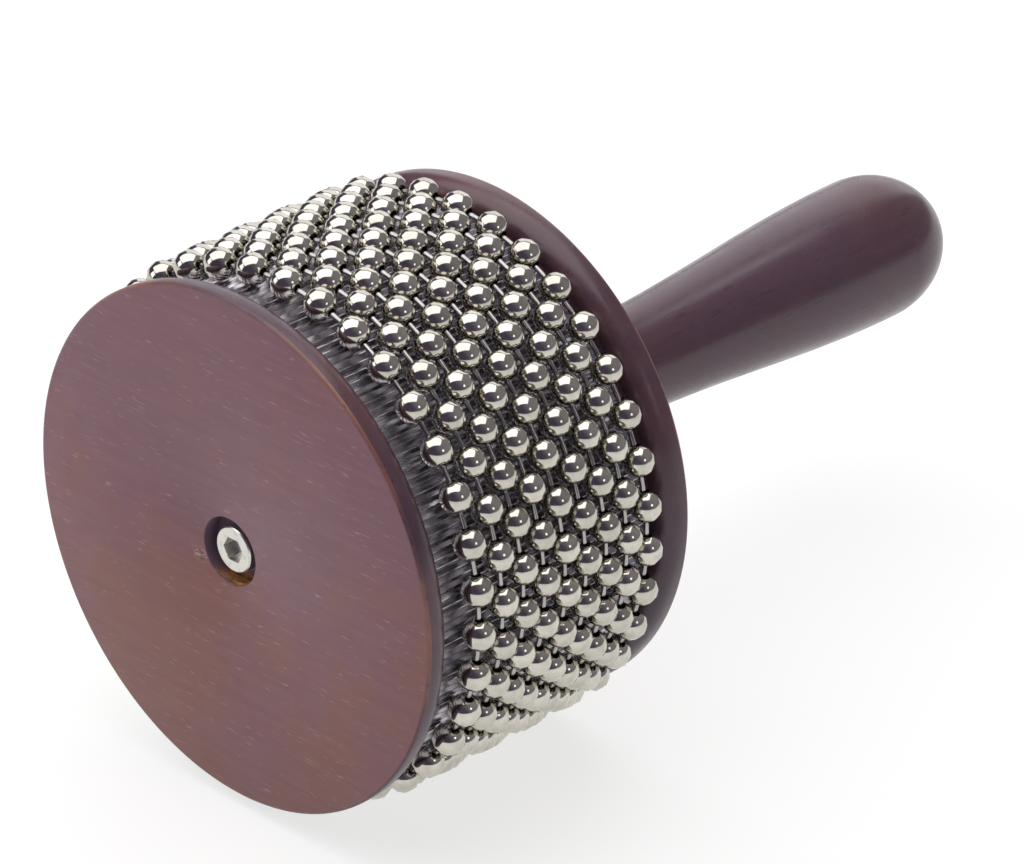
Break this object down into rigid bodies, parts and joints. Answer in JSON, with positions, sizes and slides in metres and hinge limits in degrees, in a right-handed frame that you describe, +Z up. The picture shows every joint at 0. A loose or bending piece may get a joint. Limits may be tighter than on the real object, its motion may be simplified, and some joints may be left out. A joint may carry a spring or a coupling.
{
  "type": "cabasa",
  "caption": "Hand percussion drum: loops of steel ball chain that turn round a fluted metal sleeve between two wooden discs, with a turned wooden handle.",
  "frame": {"origin": "under the middle of the overall length, on the surface that the lowest beads rest on", "axes": "+Y along the drum axis from the front disc towards the handle, +Z up, lying on its side"},
  "size_m": [0.1188, 0.2108, 0.1189],
  "materials": {
    "disc_wood": "satin varnish over open-pored hardwood",
    "handle_wood": "semi-gloss varnish over open-pored hardwood",
    "core_wood": "bare turned wood",
    "sleeve_steel": "bright fluted sheet",
    "bead_plating": "bright nickel plating",
    "pin_plating": "bright nickel plating",
    "screw_steel": "zinc-plated steel",
    "insert_brass": "plain turned brass"
  },
  "bodies": {
    "drum": {"front_disc": "disc_wood", "rear_disc": "disc_wood", "drum_core": "core_wood", "fluted_sleeve": "sleeve_steel", "handle": "handle_wood", "tie_screw": "screw_steel", "threaded_insert": "insert_brass"},
    "loop_1": {"chain_1_beads": "bead_plating", "chain_1_links": "pin_plating"},
    "loop_2": {"chain_2_beads": "bead_plating", "chain_2_links": "pin_plating"},
    "loop_3": {"chain_3_beads": "bead_plating", "chain_3_links": "pin_plating"},
    "loop_4": {"chain_4_beads": "bead_plating", "chain_4_links": "pin_plating"},
    "loop_5": {"chain_5_beads": "bead_plating", "chain_5_links": "pin_plating"},
    "loop_6": {"chain_6_beads": "bead_plating", "chain_6_links": "pin_plating"},
    "loop_7": {"chain_7_beads": "bead_plating", "chain_7_links": "pin_plating"},
    "loop_8": {"chain_8_beads": "bead_plating", "chain_8_links": "pin_plating"},
    "loop_9": {"chain_9_beads": "bead_plating", "chain_9_links": "pin_plating"}
  },
  "joints": [
    {"name": "loop_1_turn", "type": "hinge", "parent": "drum", "child": "loop_1", "pos_m": [0, -0.0906, 0.05945], "axis": [0, 1, 0], "continuous": true},
    {"name": "loop_2_turn", "type": "hinge", "parent": "drum", "child": "loop_2", "pos_m": [0, -0.0841, 0.05945], "axis": [0, 1, 0], "continuous": true},
    {"name": "loop_3_turn", "type": "hinge", "parent": "drum", "child": "loop_3", "pos_m": [0, -0.0782, 0.05945], "axis": [0, 1, 0], "continuous": true},
    {"name": "loop_4_turn", "type": "hinge", "parent": "drum", "child": "loop_4", "pos_m": [0, -0.0723, 0.05945], "axis": [0, 1, 0], "continuous": true},
    {"name": "loop_5_turn", "type": "hinge", "parent": "drum", "child": "loop_5", "pos_m": [0, -0.0664, 0.05945], "axis": [0, 1, 0], "continuous": true},
    {"name": "loop_6_turn", "type": "hinge", "parent": "drum", "child": "loop_6", "pos_m": [0, -0.0605, 0.05945], "axis": [0, 1, 0], "continuous": true},
    {"name": "loop_7_turn", "type": "hinge", "parent": "drum", "child": "loop_7", "pos_m": [0, -0.0546, 0.05945], "axis": [0, 1, 0], "continuous": true},
    {"name": "loop_8_turn", "type": "hinge", "parent": "drum", "child": "loop_8", "pos_m": [0, -0.0487, 0.05945], "axis": [0, 1, 0], "continuous": true},
    {"name": "loop_9_turn", "type": "hinge", "parent": "drum", "child": "loop_9", "pos_m": [0, -0.0428, 0.05945], "axis": [0, 1, 0], "continuous": true}
  ],
  "couplings": [
    {"joint": "loop_2_turn", "follows": "loop_1_turn", "ratio": 1},
    {"joint": "loop_3_turn", "follows": "loop_1_turn", "ratio": 1},
    {"joint": "loop_4_turn", "follows": "loop_1_turn", "ratio": 1},
    {"joint": "loop_5_turn", "follows": "loop_1_turn", "ratio": 1},
    {"joint": "loop_6_turn", "follows": "loop_1_turn", "ratio": 1},
    {"joint": "loop_7_turn", "follows": "loop_1_turn", "ratio": 1},
    {"joint": "loop_8_turn", "follows": "loop_1_turn", "ratio": 1},
    {"joint": "loop_9_turn", "follows": "loop_1_turn", "ratio": 1}
  ]
}
